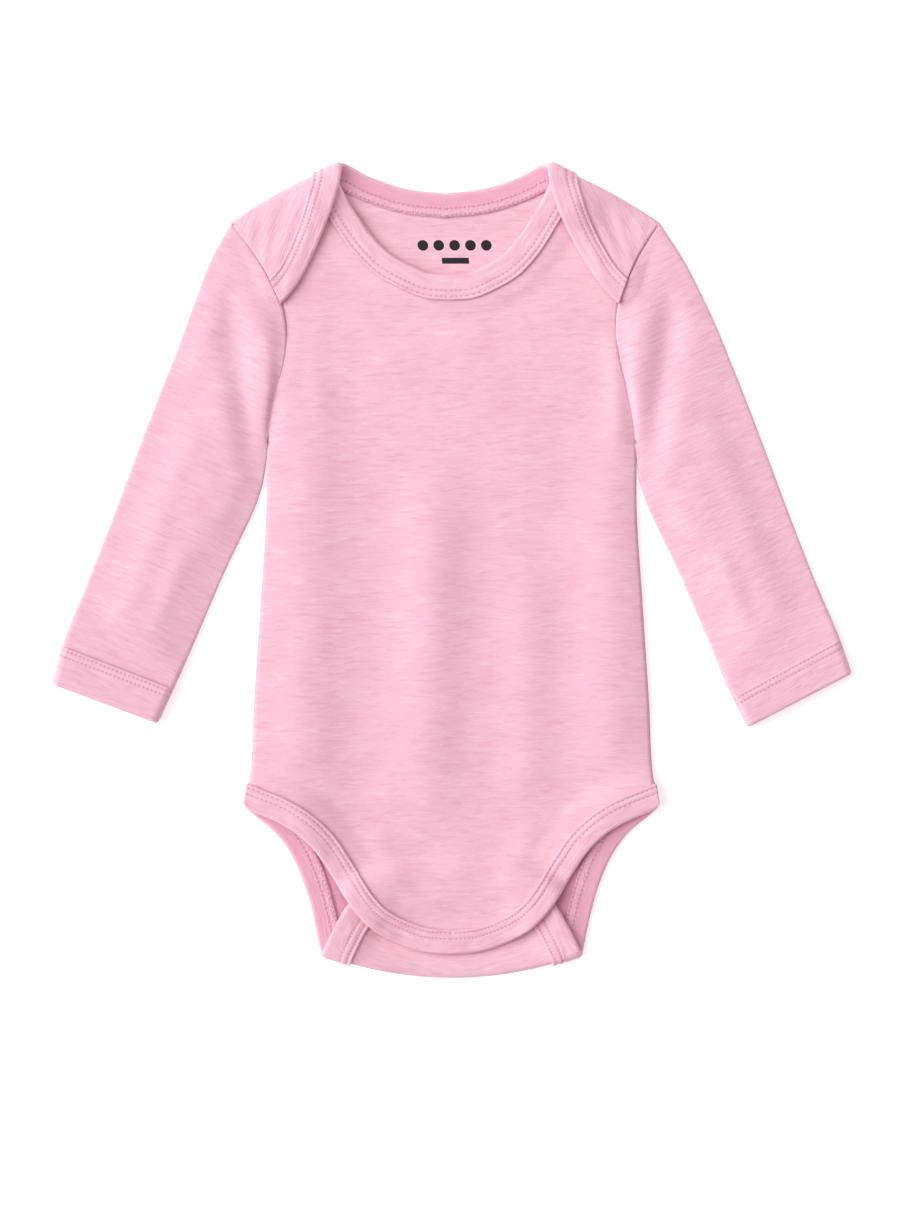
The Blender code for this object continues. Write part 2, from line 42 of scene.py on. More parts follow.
# ---------------- table, light and camera
# The garment lies on a white light table in a bright room. A low window light from the left shows the
# folds, and a lamp beyond the neck lights the shoulders more than the hem. The camera looks straight down.
VIEW_CENTRE = (-0.7 * MM, -15.4 * MM)
VIEW_HEIGHT = 563 * MM
CAMERA_RISE = 1.9
TABLE_TOP = -0.2 * MM   # just under the cloth
TABLE_HALF = 4.0
LAMP_PLACE = (0.0, 0.55, 0.8)
scene = bpy.context.scene


def put(name, data):
    """A new object in the scene."""
    item = bpy.data.objects.new(name, data)
    scene.collection.objects.link(item)
    return item


white = bpy.data.materials.new("white_table")
white.use_nodes = True
for label, value in (("Base Color", (0.97, 0.97, 0.97, 1)), ("Roughness", 0.9),
                     ("Emission Color", (1, 1, 1, 1)), ("Emission Strength", 0.4)):
    white.node_tree.nodes["Principled BSDF"].inputs[label].default_value = value
table = bpy.data.meshes.new("table")
corners = [(x * TABLE_HALF, y * TABLE_HALF, TABLE_TOP) for x, y in ((-1, -1), (1, -1), (1, 1), (-1, 1))]
table.from_pydata(corners, [], [(0, 1, 2, 3)])
table.materials.append(white)
put("table", table)

window = bpy.data.lights.new("window", "SUN")
window.energy = 2.8
window.angle = np.radians(60)
put("window", window).rotation_euler = (np.radians(-6), np.radians(-55), 0)
lamp = bpy.data.lights.new("lamp", "AREA")
lamp.size = 0.8
lamp.energy = 2.0
lamp = put("lamp", lamp)
lamp.location = LAMP_PLACE
lamp.rotation_euler = (np.arctan2(LAMP_PLACE[1], LAMP_PLACE[2]), 0, np.pi)
world = bpy.data.worlds.new("room")
scene.world = world
world.use_nodes = True
world.node_tree.nodes["Background"].inputs["Color"].default_value = (1.0, 0.80, 0.89, 1)
world.node_tree.nodes["Background"].inputs["Strength"].default_value = 0.44
scene.view_settings.view_transform = "Standard"

lens = bpy.data.cameras.new("camera")
lens.sensor_fit = "VERTICAL"
lens.sensor_height = 24.0
lens.lens = 24.0 * CAMERA_RISE / VIEW_HEIGHT
lens.clip_end = 50
scene.camera = put("camera", lens)
scene.camera.location = (*VIEW_CENTRE, CAMERA_RISE)


# ---------------- the jersey
# Thin cotton single jersey knitted from uneven slub yarn: short lighter and deeper streaks run along
# the courses, over a faint wale. It is dyed pink, and the fibres give it a soft nap with no gloss.
JERSEY = 0.85           # thickness in mm
PINK = (0.866, 0.548, 0.636)
LIGHT_PINK = (0.946, 0.715, 0.780)
# DEEP_PINK also serves as painted shade inside the leg openings and on the bindings' inner halves
DEEP_PINK = (0.760, 0.330, 0.455)


def wire(tree, kind, inputs=(), **settings):
    """Add a node, set its properties, and fill inputs by number or name from sockets or values."""
    node = tree.nodes.new("ShaderNode" + kind)
    for key, value in settings.items():
        setattr(node, key, value)
    for key, value in dict(inputs).items():
        if isinstance(value, bpy.types.NodeSocket):
            tree.links.new(value, node.inputs[key])
        else:
            node.inputs[key].default_value = value
    return node


def maths(tree, operation, a, b=0.0, c=0.0, clamp=False):
    """A Math node's output."""
    return wire(tree, "Math", {0: a, 1: b, 2: c}, operation=operation, use_clamp=clamp).outputs[0]


def times(tree, a, b):
    """The product of two values."""
    return maths(tree, "MULTIPLY", a, b)


def blend_colour(tree, share, a, b):
    """Mix two colours by a share."""
    return wire(tree, "Mix", {0: share, 6: a, 7: b}, data_type="RGBA").outputs[2]


def ramp(tree, value, start, end, low=0.0, high=1.0):
    """A value taken from between start and end to between low and high, and held there outside them."""
    return wire(tree, "MapRange", {"Value": value, "From Min": start, "From Max": end,
                                             "To Min": low, "To Max": high}).outputs[0]


def streaks(tree, place, along, across, detail, low, high):
    """Noise drawn out along the courses, squeezed between two levels to a 0 to 1 mask. Along and across
    are its cells per metre."""
    drawn = wire(tree, "VectorMath", {0: place, 1: (along, across, 1.0)}, operation="MULTIPLY")
    noise = wire(tree, "TexNoise", {"Vector": drawn.outputs[0], "Scale": 1.0, "Detail": detail,
                                              "Roughness": 0.6})
    return ramp(tree, noise.outputs["Fac"], low, high)


slub = bpy.data.node_groups.new("slub_jersey", "ShaderNodeTree")
for label, way, kind in (("Cloth Place", "INPUT", "Vector"), ("Streaks", "INPUT", "Float"),
                         ("Color", "OUTPUT", "Color"), ("Height", "OUTPUT", "Float"),
                         ("Roughness", "OUTPUT", "Float")):
    slub.interface.new_socket(label, in_out=way, socket_type="NodeSocket" + kind)
given = slub.nodes.new("NodeGroupInput")
result = slub.nodes.new("NodeGroupOutput")
place = given.outputs["Cloth Place"]
sway = wire(slub, "TexNoise", {"Vector": place, "Scale": 90.0, "Detail": 1.0})
sway = wire(slub, "VectorMath", {0: sway.outputs["Color"], 1: (0, 0.0012, 0)}, operation="MULTIPLY")
place = wire(slub, "VectorMath", {0: place, 1: sway.outputs[0]}, operation="ADD").outputs[0]
fine = streaks(slub, place, 190.0, 1150.0, 3.0, 0.34, 0.68)
long_runs = streaks(slub, place, 105.0, 680.0, 2.5, 0.50, 0.72)
deep_runs = streaks(slub, place, 95.0, 560.0, 2.5, 0.50, 0.72)
cloudy = streaks(slub, place, 26.0, 75.0, 2.0, 0.34, 0.70)
grain = streaks(slub, place, 2100.0, 2100.0, 1.0, 0.30, 0.70)
tone = (*PINK, 1)
for mask, share, colour in ((fine, 0.30, LIGHT_PINK), (long_runs, 0.62, LIGHT_PINK),
                            (deep_runs, 0.44, DEEP_PINK)):
    share = times(slub, mask, times(slub, given.outputs["Streaks"], share))
    tone = blend_colour(slub, share, tone, (*colour, 1))
for mask, share in ((cloudy, 0.20), (grain, 0.10)):
    tone = blend_colour(slub, times(slub, mask, share), tone, (*DEEP_PINK, 1))
wale = wire(slub, "TexWave", {"Vector": place, "Scale": 330.0, "Distortion": 1.2, "Detail": 1.0},
            wave_type="BANDS", bands_direction="X").outputs["Fac"]
height = 0.0
for mask, share in ((fine, 0.45), (long_runs, 0.8), (wale, 0.22), (grain, 0.25)):
    height = maths(slub, "MULTIPLY_ADD", mask, share, height)
slub.links.new(tone, result.inputs["Color"])
slub.links.new(height, result.inputs["Height"])
slub.links.new(maths(slub, "MULTIPLY_ADD", fine, -0.08, 0.94), result.inputs["Roughness"])


def jersey(name, streak_strength=1.0, decorate=None):
    """Slub jersey on a piece's own UV map, which holds its place in the cut cloth in metres."""
    material = bpy.data.materials.new(name)
    material.use_nodes = True
    tree = material.node_tree
    shader = tree.nodes["Principled BSDF"]
    spot = wire(tree, "UVMap", uv_map="cut").outputs["UV"]
    cloth = wire(tree, "Group", {0: spot, 1: streak_strength}, node_tree=slub)
    colour, height = cloth.outputs["Color"], cloth.outputs["Height"]
    if decorate:
        colour, height = decorate(tree, spot, colour, height)
    bump = wire(tree, "Bump", {"Height": height, "Distance": 0.00016, "Strength": 0.75})
    tree.links.new(colour, shader.inputs["Base Color"])
    tree.links.new(cloth.outputs["Roughness"], shader.inputs["Roughness"])
    tree.links.new(bump.outputs[0], shader.inputs["Normal"])
    for label, value in (("Sheen Weight", 0.14), ("Sheen Roughness", 0.6),
                         ("Sheen Tint", (1.0, 0.85, 0.9, 1)), ("Specular IOR Level", 0.2)):
        shader.inputs[label].default_value = value
    return material


# ---------------- the back panel, as it is cut
# One piece of jersey: the body, two shoulders long enough to fold over to the front as laps, and a
# lower end that passes under the crotch and comes up inside as a flap. Sizes are in mm on a symmetric
# plan, x from the centre line and y towards the neck, as the garment lies.
BACK_NECK = ((0, 175.3), (19, 177.6), (34, 182.6), (47.9, 189.0))
LAP_EDGE = ((47.9, 189.0), (48.8, 181.2), (51.2, 172.5), (54.6, 163.5), (58.8, 154.3), (65.4, 141.6),
            (72.0, 131.4), (78.9, 124.1))
ARMHOLE = ((100.2, 161.9), (93.9, 153.6), (88.2, 144.8), (83.4, 135.5), (78.9, 124.1), (77.4, 109.0),
           (79.3, 95.0), (82.4, 84.0), (84.9, 72.0), (86.3, 60.0))
SIDE = ((86.3, 60.0), (86.2, 30.0), (88.9, -14.0), (92.0, -60.7), (94.3, -99.0), (96.3, -110.6))
BACK_LEG = ((96.3, -110.6), (92.0, -114.2), (82.8, -121.6), (76.1, -130.0), (70.6, -141.0), (66.3, -153.7),
            (63.2, -166.5), (60.7, -179.6))
FLAP = ((60.7, -179.6), (54.8, -167.3), (48.4, -156.4), (40.0, -147.6), (26.0, -142.8), (0, -141.6))
# Folds: the two ends, how far the line bows out, and the radius at distances along it.
SHOULDER_FOLD = ((47.9, 189.0), (100.2, 161.9), 2.0, ((0, 3.2), (20, 3.2), (46, 1.5), (60, 1.3)))
CROTCH_FOLD = ((60.7, -179.2), (-60.7, -179.2), 11.0,
               ((0, 2.2), (26, 2.2), (46, 1.6), (75.4, 1.6), (95.4, 2.2), (121.4, 2.2)))
NECK_BAND = 11.5
LEG_BAND = 11.0
BAND_HALF = 1.5         # half the thickness of a bound edge
RAW_EDGE = 1.5          # the cut edge lies this far inside its binding
LAYER_GAP = 0.3
CELL = 1.0              # grid of the layers' heights, and how far it reaches from the middle
GRID_REACH = (140, 220)
BRIDGE = 5.0            # how far cloth bridges beside something thick
SETTLE = 16.0           # how soon a folded layer comes down beside its fold
LEAN = -3.2             # the neck leans this far to the left
LEAN_FROM = 100.0
LEAN_OVER = 75.0
PEAK_X = 48.4           # place of the neck's two peaks, and how they are rounded
PEAK_SLOPE = 0.45
PEAK_ROUND = 2.2
PEAK_REACH = 7.0
PEAK_FROM = 172.0
PEAK_OVER = 10.0


def lengths(line):
    """Distance along a line to each of its points."""
    return np.concatenate(([0], np.cumsum(np.linalg.norm(np.diff(line, axis=0), axis=1))))


def at(line, place, values=None):
    """Points, or other values of a line's points, at the given distances along it."""
    run = lengths(line)
    values = line if values is None else values
    return np.stack([np.interp(place, run, values[:, axis]) for axis in range(values.shape[1])], axis=-1)


def smooth_through(points, run, place):
    """Rows of values at places between given rows: a cubic in which each row's slope comes from its
    neighbours, run holding the rows' own places."""
    slope = np.gradient(points, run, axis=0)
    span = np.clip(np.searchsorted(run, place, side="right") - 1, 0, len(points) - 2)
    width = (run[span + 1] - run[span])[:, None]
    t = (place - run[span])[:, None] / width
    return ((2 * t ** 3 - 3 * t ** 2 + 1) * points[span] + (t ** 3 - 2 * t ** 2 + t) * width * slope[span]
            + (3 * t ** 2 - 2 * t ** 3) * points[span + 1] + (t ** 3 - t ** 2) * width * slope[span + 1])


def spline(points, spacing=0.8):
    """Smooth line through points, evenly spaced."""
    points = np.array(points, float)
    run = lengths(points)
    return resample(smooth_through(points, run, np.linspace(0, run[-1], 40 * len(points))), spacing)


def resample(line, spacing):
    """The same line with evenly spaced points."""
    total = lengths(line)[-1]
    return at(line, np.linspace(0, total, max(2, int(round(total / spacing)) + 1)))


def unit(vector):
    """The vector, or each row of an array, at length 1."""
    return vector / np.linalg.norm(vector, axis=-1, keepdims=True)


def right_normal(line):
    """Unit normals to the right of a line's direction of travel."""
    tangent = unit(np.gradient(line, axis=0))
    return np.stack([tangent[:, 1], -tangent[:, 0]], axis=1)


def mirrored(line):
    """The other half of a symmetric line, in reverse order."""
    return (line * (-1, 1))[::-1]


def whole_line(half):
    """Both halves of a symmetric line that starts on the centre line."""
    return np.concatenate([mirrored(half), half[1:]])


def strip(line, width, side=1):
    """Outline of a band beside a line, to its right for side 1 and to its left for side -1."""
    return np.concatenate([line, (line + side * width * right_normal(line))[::-1]])


def within(outline, x, y):
    """Even-odd test of points against a closed outline."""
    inside = np.zeros(x.shape, bool)
    for (x0, y0), (x1, y1) in zip(outline, np.roll(outline, -1, axis=0)):
        if y0 != y1:
            inside ^= ((y0 > y) != (y1 > y)) & (x < (x1 - x0) * (y - y0) / (y1 - y0) + x0)
    return inside


def smooth_step(share):
    """0 below 0, 1 above 1, and a soft S between."""
    share = np.clip(share, 0, 1)
    return share * share * (3 - 2 * share)


def bell(distance, reach):
    """1 at no distance, falling away on both sides over a reach."""
    return np.exp(-(distance / reach) ** 2)


class Stack:
    """Heights of the layers laid so far, on a grid over the table.

    A layer lies on the highest thing within reach, averaged over a short way, so that it bridges
    beside an edge and then comes down softly.
    """

    def __init__(self):
        self.x = np.arange(-GRID_REACH[0], GRID_REACH[0] + 1, CELL)
        self.y = np.arange(-GRID_REACH[1], GRID_REACH[1] + 1, CELL)
        self.top = np.zeros((len(self.y), len(self.x)))

    def lay(self, plans, bands):
        """Lay half a plan with its bound edges and their mirror images, and return the middle's height."""
        x, y = np.meshgrid(self.x, self.y)
        plans, bands = ([outline * side for outline in group for side in ((1, 1), (-1, 1))]
                        for group in (plans, bands))
        bound = np.any([within(band, x, y) for band in bands], axis=0)
        covered = bound | np.any([within(plan, x, y) for plan in plans], axis=0)
        half = np.where(bound, BAND_HALF, JERSEY / 2)
        field = np.where(covered, self.top + np.where(self.top > 0, LAYER_GAP, 0) + half, 0)
        cells = int(BRIDGE / CELL)
        for axis in (0, 1):
            field = np.max([np.roll(field, shift, axis) for shift in range(-cells, cells + 1)], axis=0)
        for axis in (0, 1, 0, 1):
            field = np.mean([np.roll(field, shift, axis) for shift in (-2, -1, 0, 1, 2)], axis=0)
        self.top = np.where(covered, field + half, self.top)
        return lambda place: self.read(field, place)

    def read(self, field, place):
        """Bilinear value of a field at plan points."""
        column = np.clip((place[..., 0] - self.x[0]) / CELL, 0, len(self.x) - 1.001)
        row = np.clip((place[..., 1] - self.y[0]) / CELL, 0, len(self.y) - 1.001)
        i, j = row.astype(int), column.astype(int)
        u, v = row - i, column - j
        return ((1 - u) * (1 - v) * field[i, j] + u * (1 - v) * field[i + 1, j]
                + (1 - u) * v * field[i, j + 1] + u * v * field[i + 1, j + 1])


class Fold:
    """A soft fold: flat before the fold line, half a turn round an arc, then back on top."""

    def __init__(self, start, end, bulge, radius, side=1):
        self.start = np.array(start, float)
        self.length = np.linalg.norm(np.array(end, float) - self.start)
        self.along = (np.array(end, float) - self.start) / self.length
        self.out = side * np.array((-self.along[1], self.along[0]))
        self.bulge = bulge
        self.radii = np.array(radius, float)

    def radius(self, t):
        """Radius of the arc at a place along the fold."""
        return np.interp(t, self.radii[:, 0], self.radii[:, 1])

    def line(self, t):
        """How far out from the chord the arc starts."""
        share = np.clip(t / self.length, 0, 1)
        return self.bulge * 4 * share * (1 - share) - self.radius(t) - JERSEY / 2

    def split(self, points):
        """Place along the fold and distance past the start of the arc."""
        t = (points - self.start) @ self.along
        return t, (points - self.start) @ self.out - self.line(t)

    def point(self, t, past):
        """Pattern point at a place along the fold and a distance past the start of the arc."""
        return (self.start + np.asarray(t)[..., None] * self.along
                + (self.line(t) + past)[..., None] * self.out)

    def unfold(self, points):
        """Pattern points of a line that lies on top after folding."""
        t = (points - self.start) @ self.along
        d = (points - self.start) @ self.out
        return self.point(t, np.pi * self.radius(t) + self.line(t) - d)

    def lay(self, points, low, high):
        """Middle of the folded cloth and its right side's direction: the arc turns by distance over
        radius, and beyond half a turn the cloth runs back over itself at the height of its layer."""
        t, past = self.split(points)
        r = self.radius(t)
        turn = np.clip(past / r, 0, np.pi)
        beyond = np.maximum(past - np.pi * r, 0)
        chord = self.start + t[:, None] * self.along
        start = chord + self.line(t)[:, None] * self.out
        plan = chord + (self.line(t) + r * np.sin(turn) - beyond)[:, None] * self.out
        base = low(start)
        top = high(plan) + (base + 2 * r - high(start)) * smooth_step(1 - beyond / SETTLE)
        z = np.where(beyond > 0, top, base + r * (1 - np.cos(turn)))
        outward = np.concatenate([np.sin(turn)[:, None] * self.out, -np.cos(turn)[:, None]], axis=1)
        return np.column_stack([plan, z]), outward


def lean(points):
    """Round the two peaks of the neck, where the edge rolls over the fold, by the gap between a corner and a
    hyperbola inside it. Then add the neck's lean, which grows up the shoulders along an S."""
    moved = np.array(points, float)
    off = np.abs(moved[..., 0]) - PEAK_X
    lack = PEAK_SLOPE * np.abs(off) + PEAK_ROUND - np.hypot(PEAK_SLOPE * off, PEAK_ROUND)
    top = smooth_step((moved[..., 1] - PEAK_FROM) / PEAK_OVER)
    moved[..., 1] += lack * bell(off, PEAK_REACH) * top
    moved[..., 0] += LEAN * smooth_step((moved[..., 1] - LEAN_FROM) / LEAN_OVER)
    return moved


start, end, bulge, radius = SHOULDER_FOLD
shoulders = {side: Fold((side * start[0], start[1]), (side * end[0], end[1]), bulge, radius, side)
             for side in (1, -1)}
crotch = Fold(*CROTCH_FOLD)
armhole = spline(ARMHOLE)
side_line = spline(SIDE)
lap_free = spline(LAP_EDGE)
back_leg_line = spline(BACK_LEG)
flap_line = spline(FLAP)


def joined(first, second):
    """Two runs as one even line, with the join eased."""
    line = resample(np.concatenate([first, second[1:]]), 1.0)
    for _ in range(12):
        line[1:-1] = (line[:-2] + 2 * line[1:-1] + line[2:]) / 4
    return line


back_neck_line = spline(BACK_NECK)
neck_half = joined(back_neck_line, shoulders[1].unfold(lap_free))
leg_half = joined(back_leg_line, crotch.unfold(flap_line))
stack = Stack()
foot = ((0, -190.0),)   # on the centre line, below the crotch fold
back_middle = stack.lay([np.concatenate([back_neck_line, armhole, side_line, back_leg_line, foot])],
                        [strip(back_neck_line, NECK_BAND), strip(back_leg_line, LEG_BAND)])
flap_middle = stack.lay([np.concatenate([foot, flap_line])], [strip(flap_line, LEG_BAND, -1)])


# ---------------- front panel
# One piece of jersey between the back and the laps, cut with a scooped neck and high curved legs. It
# lies in soft lengthwise folds over the hips, and its shoulders end out of sight under the laps.
FRONT_NECK = ((0, 137.3), (9, 138.1), (17, 141.4), (26, 146.6), (33.8, 154.6), (41, 165.0), (45.4, 172.0),
              (48.4, 178.0), (50.3, 181.5))
FRONT_TOP_END = (97.4, 157.9)
FRONT_LEG = ((96.3, -110.6), (90.5, -113.2), (83.9, -115.8), (72.7, -122.1), (64.5, -129.5), (56.9, -140.3),
             (50.2, -151.2), (43.6, -160.5), (36.1, -167.6), (25.6, -173.4), (14.1, -177.4), (0, -178.8))
# Ridges of cloth: x and y of the upper end, x and y of the lower end, half width, height.
FRONT_RIDGES = ((-66, 84, -70, -112, 16, 2.9), (-10, 42, -10, -112, 15, 3.1), (35, -6, 36, -112, 11, 1.5),
                (73, 60, 75, -95, 14, 2.4), (78, 108, 77, 56, 6, 1.7), (-79, 106, -77, 60, 6, 0.7),
                (30, 112, 22, 30, 26, 0.9), (-14, 108, -6, 60, 24, 0.9), (-66, 104, -60, 70, 7, 0.6),
                (8, -124, 2, -150, 9, 0.5), (-36, -122, -24, -150, 7, 1.1), (38, -120, 27, -150, 7, 1.0))
SIDE_DIP = (0.5, 2.5)   # depth and reach of the cloth's turn down at the side seam, and at the armhole
ARM_DIP = (0.6, 3.0)
GRID = 1.7              # spacing of the mesh
HALF_WIDTH = 100.0      # rough size of half a panel, for its number of cells
FRONT_LENGTH = 300.0


def ridges(points, table):
    """Soft ridges: a bell across each ridge's line, fading in and out along it."""
    rise = np.zeros(points.shape[:-1])
    for x0, y0, x1, y1, width, height in table:
        start, run = np.array((x0, y0), float), np.array((x1 - x0, y1 - y0), float)
        size = np.linalg.norm(run)
        along = (points - start) @ run / size ** 2
        across = (points - start) @ np.array((-run[1], run[0])) / size
        fade = smooth_step((along + 0.18) / 0.4) * smooth_step((1.18 - along) / 0.4)
        rise += height * fade * bell(across, width)
    return rise


def undulate(points, height, seed):
    """Low uneven waves: a sum of a few long sine waves in different directions."""
    draw = np.random.default_rng(seed)
    rise = np.zeros(points.shape[:-1])
    for _ in range(9):
        angle, wave, phase = draw.uniform(0, np.pi), draw.uniform(16, 55), draw.uniform(0, 2 * np.pi)
        rise += np.sin((points @ np.array((np.cos(angle), np.sin(angle)))) * 2 * np.pi / wave + phase)
    return height * (1 + np.clip(rise / 5, -1, 1)) / 2


def coons(first, last, left, right, across, down):
    """Surface between four lines: the blend of opposite lines both ways, less the blend of the corners."""
    u = np.linspace(0, 1, across)[None, :, None]
    v = np.linspace(0, 1, down)[:, None, None]
    top, foot = (at(line, np.linspace(0, lengths(line)[-1], across))[None] for line in (first, last))
    start, end = (at(line, np.linspace(0, lengths(line)[-1], down))[:, None] for line in (left, right))
    corners = ((1 - u) * (1 - v) * top[:, :1] + u * (1 - v) * top[:, -1:]
               + (1 - u) * v * foot[:, :1] + u * v * foot[:, -1:])
    return (1 - v) * top + v * foot + (1 - u) * start + u * end - corners


def sew(name, patches, material, thickness=JERSEY, closed=False):
    """One mesh from grids of points in mm with their places in the cut cloth, given its thickness."""
    points, cuts, faces, count = [], [], [], 0
    for grid, cut in patches:
        rows, columns = grid.shape[:2]
        number = np.arange(rows * columns).reshape(rows, columns) + count
        if closed:
            number = np.concatenate([number, number[:, :1]], axis=1)
        quads = np.stack([number[:-1, :-1], number[:-1, 1:], number[1:, 1:], number[1:, :-1]], axis=-1)
        faces.append(quads.reshape(-1, 4))
        points.append(grid.reshape(-1, 3))
        cuts.append(cut.reshape(-1, 2))
        count += rows * columns
    points, cuts, faces = (np.concatenate(part) for part in (points, cuts, faces))
    points[:, 2] = np.maximum(points[:, 2], thickness / 2)
    mesh = bpy.data.meshes.new(name)
    mesh.from_pydata((lean(points) * MM).tolist(), [], faces.tolist())
    corner = np.empty(len(mesh.loops), np.int32)
    mesh.loops.foreach_get("vertex_index", corner)
    mesh.uv_layers.new(name="cut").data.foreach_set("uv", (cuts[corner] * MM).astype(np.float32).ravel())
    shape = bmesh.new()
    shape.from_mesh(mesh)
    bmesh.ops.remove_doubles(shape, verts=shape.verts, dist=2e-6)
    bmesh.ops.dissolve_degenerate(shape, dist=1e-7, edges=shape.edges)
    bmesh.ops.recalc_face_normals(shape, faces=shape.faces)
    shape.to_mesh(mesh)
    shape.free()
    mesh.shade_smooth()
    mesh.materials.append(material)
    piece = put(name, mesh)
    wall = piece.modifiers.new("thickness", "SOLIDIFY")
    wall.thickness = thickness * MM
    wall.offset = 0
    return piece


def front_rise(points):
    """The front's folds and unevenness, which the laps over it follow."""
    return ridges(points, FRONT_RIDGES) + undulate(points, height=0.5, seed=4)


front_neck_half = spline(FRONT_NECK)
front_leg_half = spline(FRONT_LEG)
front_arm = armhole[armhole[:, 1] < FRONT_TOP_END[1]]
half_front = np.concatenate([front_neck_half, front_arm, side_line, front_leg_half])
front_layer = stack.lay([half_front], [strip(front_neck_half, NECK_BAND), strip(front_leg_half, LEG_BAND)])


def front_middle(points):
    """Middle height of the front: its layer's, with its folds."""
    return front_layer(points) + front_rise(points)


def edge_dip(points, line, dip):
    """How far cloth turns down towards a seam along a line: depth and reach of the dip."""
    flat = points.reshape(-1, 2)
    near = np.min(np.linalg.norm(flat[:, None] - line[None, ::3], axis=2), axis=1)
    return dip[0] * bell(near.reshape(points.shape[:-1]), dip[1])


inner_neck = front_neck_half + RAW_EDGE * right_normal(front_neck_half)
inner_leg = front_leg_half + RAW_EDGE * right_normal(front_leg_half)
first = np.concatenate([inner_neck, (FRONT_TOP_END,)])
outer = np.concatenate([(FRONT_TOP_END,), front_arm[1:], side_line[1:-2]])
half = coons(resample(first, 1.0), inner_leg[::-1], np.array((inner_neck[0], inner_leg[-1])), outer,
             int(HALF_WIDTH / GRID), int(FRONT_LENGTH / GRID))
half[:, 0, 0] = 0
patches = []
for side in (1, -1):
    plan = half * (side, 1)
    z = front_middle(plan) - edge_dip(half, side_line, SIDE_DIP) - edge_dip(half, front_arm, ARM_DIP)
    patches.append((np.concatenate([plan, z[..., None]], axis=-1), plan))
front = sew("front", patches, jersey("pink_jersey"))
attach(front, "root")
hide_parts("front_panel")


# ---------------- back panel, folded
# The same piece as above, now laid: the body on the table, the laps turned over the front at the
# shoulders and the flap turned up inside at the crotch. A small plain print sits inside the neck.
LAP_RIDGES = ((58, 176, 76, 128, 3.2, 0.7), (68, 172, 82, 136, 2.6, 0.6), (80, 166, 86, 142, 2.4, 0.5),
              (90, 163, 92, 152, 2.0, 0.35), (84, 172, 89, 128, 8, 1.0))
MARK_COLOUR = (0.010, 0.012, 0.014)
MARK_PLACE = (3.9, 151.5)       # middle of the row of dots, before the neck's lean
DOTS = 5
DOT_PITCH = 7.4
DOT_RADIUS = 2.5
BAR_SIZE = (12.6, 2.8)
BAR_DROP = 7.2
PAINTED_LEG_SHADE = ((-105, -125), (-178, -164))       # y from no painted shade to the full painted shade, above and below
BACK_DIP = (0.3, 1.6)           # depth and reach of the turn up at the side seam
BACK_LENGTH = 330.0             # rough, for the number of cells
LAP_CELLS = (59, 45)            # out from the fold, and along it
FLAP_CELLS = (69, 43)
FOLD_POINTS = 60


def lap_rise(points):
    """Short folds that fan from the laps' armhole seam, the same on both sides."""
    return ridges(np.stack([np.abs(points[..., 0]), points[..., 1]], axis=-1), LAP_RIDGES)


lap_plan = np.concatenate([lap_free, armhole[::-1]])
lap_layer = stack.lay([lap_plan], [strip(lap_free, NECK_BAND, -1)])


def lap_middle(points):
    """Middle height of the laps: over the front and its folds."""
    return lap_layer(points) + front_rise(points) + lap_rise(points)


def lay_back(points):
    """Fold the back's pattern: middle of the cloth and its right side's direction."""
    flat = points.reshape(-1, 2)
    middle = np.column_stack([flat, back_middle(flat)])
    outward = np.tile((0.0, 0.0, -1.0), (len(flat), 1))
    for fold, high in ((shoulders[-1], lap_middle), (shoulders[1], lap_middle), (crotch, flap_middle)):
        past = fold.split(flat)[1] > 0
        if past.any():
            middle[past], outward[past] = fold.lay(flat[past], back_middle, high)
    return middle.reshape(points.shape[:-1] + (3,)), outward.reshape(points.shape[:-1] + (3,))


def neck_print_and_leg_shade(tree, spot, colour, height):
    """A row of round dots over a short bar, printed in dark ink inside the neck; and painted shade on
    the cloth inside the leg openings."""
    part = wire(tree, "SeparateXYZ", {0: spot})
    x = maths(tree, "SUBTRACT", part.outputs[0], MARK_PLACE[0] * MM)
    y = maths(tree, "SUBTRACT", part.outputs[1], MARK_PLACE[1] * MM)
    number = maths(tree, "ROUND", maths(tree, "DIVIDE", x, DOT_PITCH * MM))
    cell = maths(tree, "SUBTRACT", x, times(tree, number, DOT_PITCH * MM))
    spread = maths(tree, "SQRT", maths(tree, "MULTIPLY_ADD", cell, cell, times(tree, y, y)))
    dot = maths(tree, "LESS_THAN", spread, DOT_RADIUS * MM)
    counted = maths(tree, "LESS_THAN", maths(tree, "ABSOLUTE", number), DOTS / 2)
    drop = maths(tree, "ABSOLUTE", maths(tree, "ADD", y, BAR_DROP * MM))
    bar = times(tree, maths(tree, "LESS_THAN", drop, BAR_SIZE[1] / 2 * MM),
                maths(tree, "LESS_THAN", maths(tree, "ABSOLUTE", x), BAR_SIZE[0] / 2 * MM))
    ink = maths(tree, "MAXIMUM", times(tree, dot, counted), bar)
    worn = streaks(tree, spot, 900.0, 1500.0, 2.0, 0.22, 0.42)
    ink = times(tree, ink, maths(tree, "MULTIPLY_ADD", worn, 0.06, 0.93))
    inside = 1.0
    # painted shade: the cloth inside the leg openings, between these y values, is darkened towards DEEP_PINK
    for clear, full in PAINTED_LEG_SHADE:
        inside = times(tree, inside, ramp(tree, part.outputs[1], clear * MM, full * MM))
    colour = blend_colour(tree, times(tree, inside, 0.65), colour, (*DEEP_PINK, 1))
    return blend_colour(tree, ink, colour, (*MARK_COLOUR, 1)), height


